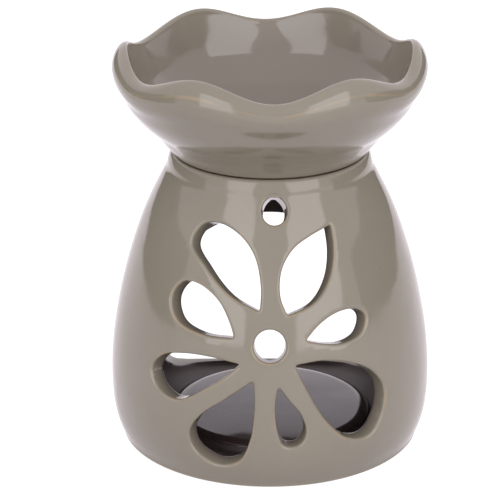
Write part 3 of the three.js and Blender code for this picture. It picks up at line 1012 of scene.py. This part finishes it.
# Studio in metres, watts and degrees; azimuths start at the camera's side
SURROUNDINGS = 0.82     # strength of the white all round as it lights the object
PAPER_GLOW = 0.82       # of the paper as the camera and the glaze see it
PAPER_SEEN = 0.42       # grey of that paper where the lamps fall on it
PAPER_THROWN = 0.5      # grey of the paper that throws light on the object
FAR_GLOW = 0.9          # strength of its glow far behind the object
FAR_GLOW_RISE = (0.3, 1.2)  # how far behind the object it comes up
CARD_GREY = 0.12
VIOLET = (1.0, 0.9, 1.0)    # tint of the white in the glaze
LAMPS = {
    "left_box": {"azimuth": -33, "width": 0.62, "power": 3.4},
    "right_box": {"azimuth": 37, "width": 0.78, "power": 4.3},
}
LAMP_DISTANCE = 1.1
LAMP_HEIGHT = 0.42
LAMP_TALL = 0.8
LAMP_AIM = 0.06         # height on the object that the lamps point at
CARDS = {"left_card": -112, "right_card": 112}
CARD_DISTANCE = 0.6
CARD_WIDTH = 1.0
CARD_TALL = 0.22

# Camera as fitted to the photo
CAMERA_BACK = 0.686     # in front of the axis of the body
CAMERA_HEIGHT = 0.3234
CAMERA_PITCH = 21.3     # degrees that it looks down
CAMERA_SHIFT = -0.0398
FOCAL_PIXELS = 2497
PICTURE_WIDTH = 500
SENSOR_WIDTH = 36.0


def background_rays(n):
    """1 for rays that find the white background, 0 for those that light the object."""
    path = n.add("ShaderNodeLightPath")
    white = n.math("MAXIMUM", path.outputs["Is Camera Ray"], path.outputs["Is Glossy Ray"])
    return n.math("MAXIMUM", white, path.outputs["Is Transmission Ray"])


def background_tint(n):
    """White, but faintly violet where it shines on glaze."""
    path = n.add("ShaderNodeLightPath")
    return n.mix(path.outputs["Is Glossy Ray"], (1.0, 1.0, 1.0), VIOLET)


def sum_of(n, a, b):
    """Light of two shaders together."""
    both = n.add("ShaderNodeAddShader")
    n.join(a, both.inputs[0])
    n.join(b, both.inputs[1])
    return both.outputs[0]


def by_rays(n, lighting, background, surface):
    """One shader for the rays that light the object and one for the background."""
    pick = n.add("ShaderNodeMixShader")
    n.join(background_rays(n), pick.inputs[0])
    n.join(lighting, pick.inputs[1])
    n.join(background, pick.inputs[2])
    n.join(pick.outputs[0], surface)


def sweep_white():
    """White paper: almost burnt out as the camera and the glaze see it, mid grey with a glow far
    behind for the light that it throws on the object."""
    material, n, shader = new_material("sweep_white")
    shader.inputs["Base Color"].default_value = grey(PAPER_THROWN)
    shader.inputs["Roughness"].default_value = 0.9
    shader.inputs["Specular IOR Level"].default_value = 0.0
    glow = n.add("ShaderNodeEmission")
    glow.inputs["Strength"].default_value = PAPER_GLOW
    n.join(background_tint(n), glow.inputs["Color"])
    paper = n.add("ShaderNodeBsdfDiffuse")
    paper.inputs["Color"].default_value = grey(PAPER_SEEN)
    behind = n.add("ShaderNodeSeparateXYZ")
    n.join(n.add("ShaderNodeTexCoord").outputs["Object"], behind.inputs[0])
    wall = n.add("ShaderNodeEmission")
    n.join(n.spread(behind.outputs[1], *FAR_GLOW_RISE, 0.0, FAR_GLOW), wall.inputs["Strength"])
    by_rays(n, sum_of(n, shader.outputs[0], wall.outputs[0]),
            sum_of(n, glow.outputs[0], paper.outputs[0]),
            material.node_tree.nodes["Material Output"].inputs["Surface"])
    return material


def stand_at(azimuth, distance, height):
    """A place round the object, and its azimuth in radians."""
    a = math.radians(azimuth)
    return (distance * math.sin(a), -distance * math.cos(a), height), a


def card(name, azimuth):
    """Dark card beside the object that draws its edges, seen only in the glaze."""
    half = CARD_WIDTH / 2
    mesh = bpy.data.meshes.new(name)
    mesh.from_pydata([(-half, 0, 0.0), (half, 0, 0.0), (half, 0, CARD_TALL),
                      (-half, 0, CARD_TALL)], [], [(0, 1, 2, 3)])
    material, _, shader = new_material(name)
    shader.inputs["Base Color"].default_value = grey(CARD_GREY)
    shader.inputs["Specular IOR Level"].default_value = 0.0
    mesh.materials.append(material)
    piece = placed(name, mesh)
    piece.location, turn = stand_at(azimuth, CARD_DISTANCE, 0)
    piece.rotation_euler = (0, 0, turn)
    piece.visible_camera = False
    piece.visible_diffuse = False


def table():
    """White sweep: a flat table that curves up far behind the object."""
    half = 4.0
    front = -3.0
    bend = 1.6
    radius = 0.9
    top = 4.0
    profile = [(front, 0.0), (bend, 0.0)]
    profile += [(bend + radius * math.sin(a), radius - radius * math.cos(a))
                for a in np.radians(np.linspace(6, 90, 15))]
    profile += [(bend + radius, top)]
    points, faces = [], []
    for y, z in profile:
        points += [(-half, y, z), (half, y, z)]
    for i in range(len(profile) - 1):
        faces.append((2 * i, 2 * i + 1, 2 * i + 3, 2 * i + 2))
    mesh = bpy.data.meshes.new("sweep")
    mesh.from_pydata(points, [], faces)
    mesh.shade_smooth()
    mesh.materials.append(sweep_white())
    sweep = placed("sweep", mesh)


def softbox(name, azimuth, width, power):
    """Rectangular lamp aimed at the object."""
    data = bpy.data.lights.new(name, "AREA")
    data.shape = "RECTANGLE"
    data.size = width
    data.size_y = LAMP_TALL
    data.energy = power
    lamp = placed(name, data)
    lamp.location, _ = stand_at(azimuth, LAMP_DISTANCE, LAMP_HEIGHT)
    aim = Vector((0, 0, LAMP_AIM)) - lamp.location
    lamp.rotation_euler = aim.to_track_quat("-Z", "Y").to_euler()


def surroundings():
    """White world: even light on the object, and plain white for the background rays."""
    world = bpy.data.worlds.new("studio")
    bpy.context.scene.world = world
    world.use_nodes = True
    n = Nodes(world.node_tree)
    back = world.node_tree.nodes["Background"]
    back.inputs["Color"].default_value = grey(1)
    back.inputs["Strength"].default_value = SURROUNDINGS
    seen = n.add("ShaderNodeBackground")
    seen.inputs["Strength"].default_value = 1.0
    n.join(background_tint(n), seen.inputs["Color"])
    by_rays(n, back.outputs[0], seen.outputs[0],
            world.node_tree.nodes["World Output"].inputs["Surface"])


def photo_camera():
    """The camera of the photo, in front of the object and above it."""
    data = bpy.data.cameras.new("photo_camera")
    data.sensor_width = SENSOR_WIDTH
    data.lens = SENSOR_WIDTH * FOCAL_PIXELS / PICTURE_WIDTH
    data.shift_x = CAMERA_SHIFT
    data.clip_start = 0.05
    data.clip_end = 20
    camera = placed("photo_camera", data)
    camera.location = (0, -CAMERA_BACK + MILLIMETRE * AXIS_BEHIND, CAMERA_HEIGHT)
    camera.rotation_euler = (math.radians(90 - CAMERA_PITCH), 0, 0)
    bpy.context.scene.camera = camera


table()
for name, lamp in LAMPS.items():
    softbox(name, **lamp)
for name, azimuth in CARDS.items():
    card(name, azimuth)
surroundings()
photo_camera()
bpy.context.scene.view_settings.view_transform = "Standard"
